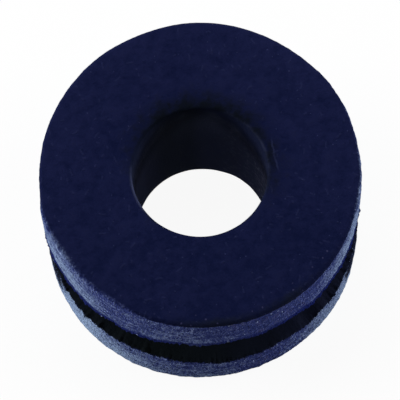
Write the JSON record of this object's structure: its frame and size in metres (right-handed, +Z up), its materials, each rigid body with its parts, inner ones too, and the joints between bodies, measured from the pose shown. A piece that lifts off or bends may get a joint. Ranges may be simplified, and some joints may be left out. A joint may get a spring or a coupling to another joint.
{
  "type": "rubber grommet",
  "caption": "Round dark rubber grommet with thick upper and lower flanges, a groove between them for the edge of a panel, and a plain round bore for a cable or bolt.",
  "frame": {"origin": "centre of the lower face, on the bore's axis", "axes": "+Z up along the bore, from the lower face to the upper; -Y is the side that faces the camera in the picture, and X and Y differ only in the groove's unevenness"},
  "size_m": [0.019, 0.019, 0.011],
  "materials": {
    "rubber": "matte moulded faces, grainy rims"
  },
  "bodies": {
    "root": {"grommet": "rubber"}
  },
  "joints": []
}
